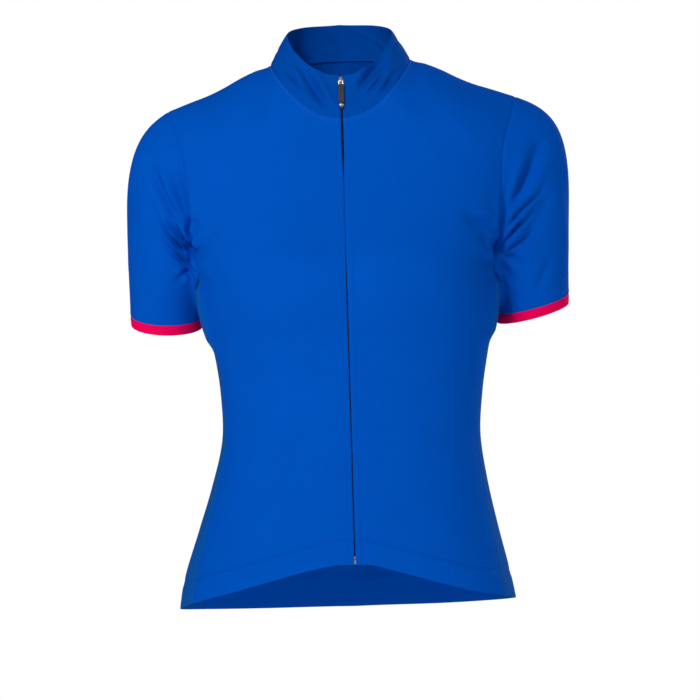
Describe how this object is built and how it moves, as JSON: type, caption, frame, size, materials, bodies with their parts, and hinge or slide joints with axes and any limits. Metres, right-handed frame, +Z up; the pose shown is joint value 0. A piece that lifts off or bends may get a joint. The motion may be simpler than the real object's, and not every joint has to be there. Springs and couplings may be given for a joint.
{
  "type": "cycling jersey",
  "caption": "Short-sleeved close-fitting cycling jersey with a stand collar, full-length front zip and contrast cuff bands, filled out as worn.",
  "frame": {"origin": "middle of the neck's base, level with the points where the collar meets the shoulder seams, where a wearer's shoulders hold it", "axes": "+Z up, -Y the front of the garment, +X the wearer's left"},
  "size_m": [0.4898, 0.2495, 0.6581],
  "materials": {
    "jersey_knit": "matte fine knit with a slight sheen",
    "mesh_knit": "matte open mesh knit",
    "cuff_band": "matte elastic knit band",
    "zip_tape": "dark woven tape with a nylon coil",
    "zip_metal": "polished",
    "pull_rubber": "matte moulded rubber"
  },
  "bodies": {
    "garment": {"front_left": "jersey_knit", "front_right": "jersey_knit", "back": "jersey_knit", "side_left": "mesh_knit", "side_right": "mesh_knit", "sleeve_left": "jersey_knit", "sleeve_right": "jersey_knit", "cuff_left": "cuff_band", "cuff_right": "cuff_band", "collar": "jersey_knit", "zip_tape_left": "zip_tape", "zip_tape_right": "zip_tape", "zip_box": "zip_metal", "zip_slider": "zip_metal"},
    "pull": {"pull_tab": "pull_rubber"}
  },
  "joints": [
    {"name": "pull_tab_lift", "type": "hinge", "parent": "garment", "child": "pull", "pos_m": [0, -0.06605, -0.0251], "axis": [-1, 0, 0], "range_deg": [0, 165]}
  ]
}
